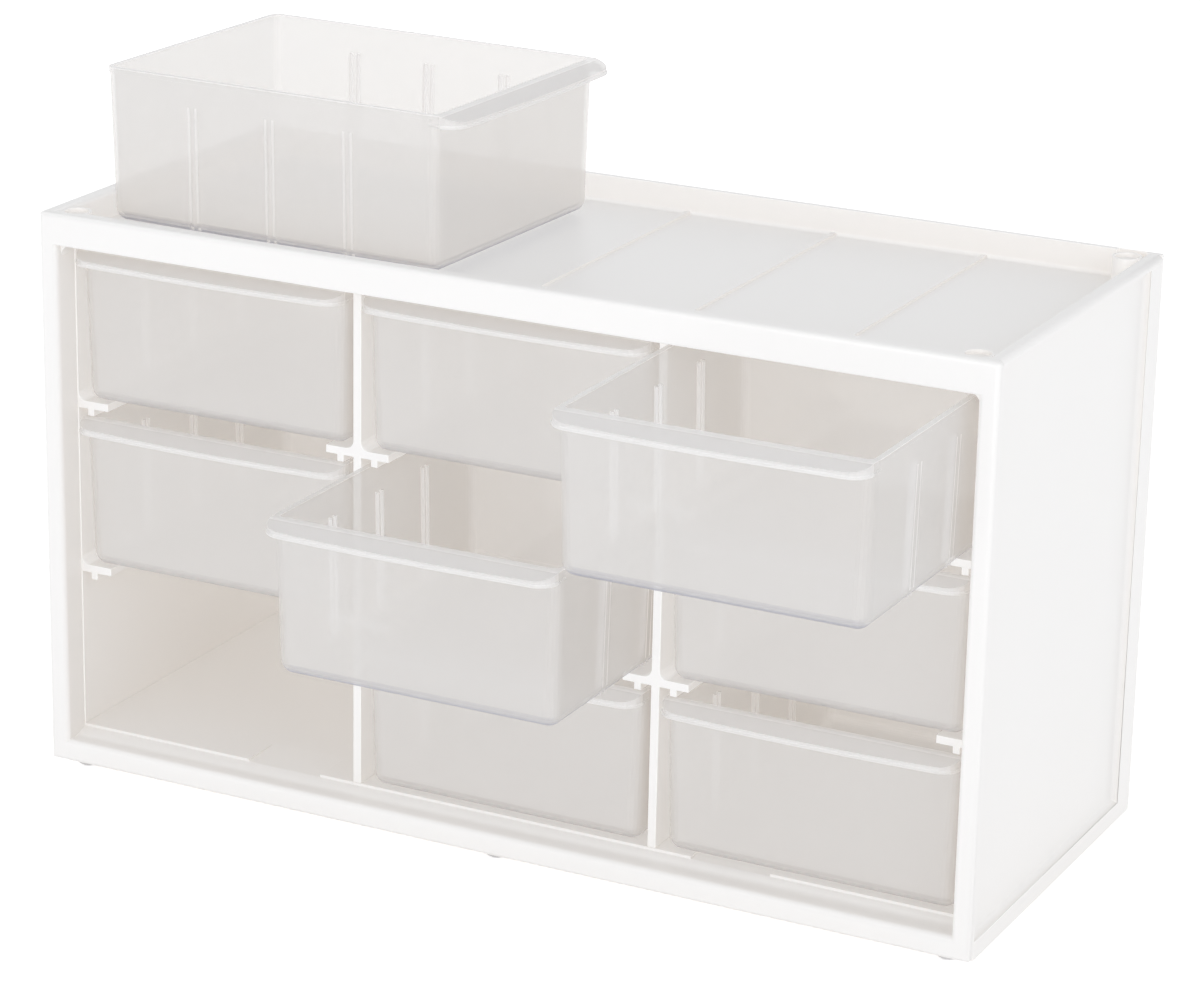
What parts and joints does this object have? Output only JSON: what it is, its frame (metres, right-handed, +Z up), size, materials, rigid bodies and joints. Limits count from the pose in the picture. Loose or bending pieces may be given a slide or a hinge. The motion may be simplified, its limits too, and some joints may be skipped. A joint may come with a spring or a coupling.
{
  "type": "stackable drawer box",
  "caption": "White stackable tabletop cabinet with translucent pull-out drawers on moulded ledges, a rimmed top tray, stacking cups and matching domed feet, for crafts and small parts.",
  "frame": {"origin": "on the standing surface, under the middle of the cabinet's footprint", "axes": "+X to the right seen from the front, -Y out of the front, the way the drawers pull out, +Z up"},
  "size_m": [0.365, 0.2334, 0.2589],
  "materials": {
    "cabinet_white": "satin moulded",
    "foot_grey": "matte moulded",
    "drawer_frosted": "frosted translucent"
  },
  "bodies": {
    "cabinet": {"front_frame": "cabinet_white", "top_tray": "cabinet_white", "base_panel": "cabinet_white", "side_panel_left": "cabinet_white", "side_panel_right": "cabinet_white", "back_panel": "cabinet_white", "divider_left": "cabinet_white", "divider_right": "cabinet_white", "liner_left": "cabinet_white", "liner_right": "cabinet_white", "foot_front_left": "foot_grey", "foot_front_middle": "foot_grey", "foot_front_right": "foot_grey", "foot_rear_left": "foot_grey", "foot_rear_middle": "foot_grey", "foot_rear_right": "foot_grey"},
    "drawer_top_left": {"drawer_top_left": "drawer_frosted"},
    "drawer_top_middle": {"drawer_top_middle": "drawer_frosted"},
    "drawer_top_right": {"drawer_top_right": "drawer_frosted"},
    "drawer_middle_left": {"drawer_middle_left": "drawer_frosted"},
    "drawer_middle": {"drawer_middle": "drawer_frosted"},
    "drawer_middle_right": {"drawer_middle_right": "drawer_frosted"},
    "drawer_bottom_middle": {"drawer_bottom_middle": "drawer_frosted"},
    "drawer_bottom_right": {"drawer_bottom_right": "drawer_frosted"},
    "drawer_on_tray": {"drawer_on_tray": "drawer_frosted"}
  },
  "joints": [
    {"name": "drawer_top_left_slide", "type": "slide", "parent": "cabinet", "child": "drawer_top_left", "axis": [0, -1, 0], "range_m": [0, 0.12]},
    {"name": "drawer_top_middle_slide", "type": "slide", "parent": "cabinet", "child": "drawer_top_middle", "axis": [0, -1, 0], "range_m": [0, 0.12]},
    {"name": "drawer_top_right_slide", "type": "slide", "parent": "cabinet", "child": "drawer_top_right", "axis": [0, -1, 0], "range_m": [-0.0818, 0.0382]},
    {"name": "drawer_middle_left_slide", "type": "slide", "parent": "cabinet", "child": "drawer_middle_left", "axis": [0, -1, 0], "range_m": [0, 0.12]},
    {"name": "drawer_middle_slide", "type": "slide", "parent": "cabinet", "child": "drawer_middle", "axis": [0, -1, 0], "range_m": [-0.0613, 0.0587]},
    {"name": "drawer_middle_right_slide", "type": "slide", "parent": "cabinet", "child": "drawer_middle_right", "axis": [0, -1, 0], "range_m": [0, 0.12]},
    {"name": "drawer_bottom_middle_slide", "type": "slide", "parent": "cabinet", "child": "drawer_bottom_middle", "axis": [0, -1, 0], "range_m": [0, 0.12]},
    {"name": "drawer_bottom_right_slide", "type": "slide", "parent": "cabinet", "child": "drawer_bottom_right", "axis": [0, -1, 0], "range_m": [0, 0.12]},
    {"name": "drawer_on_tray_lift", "type": "slide", "parent": "cabinet", "child": "drawer_on_tray", "axis": [0, 0, 1], "range_m": [0, 0.08]}
  ]
}
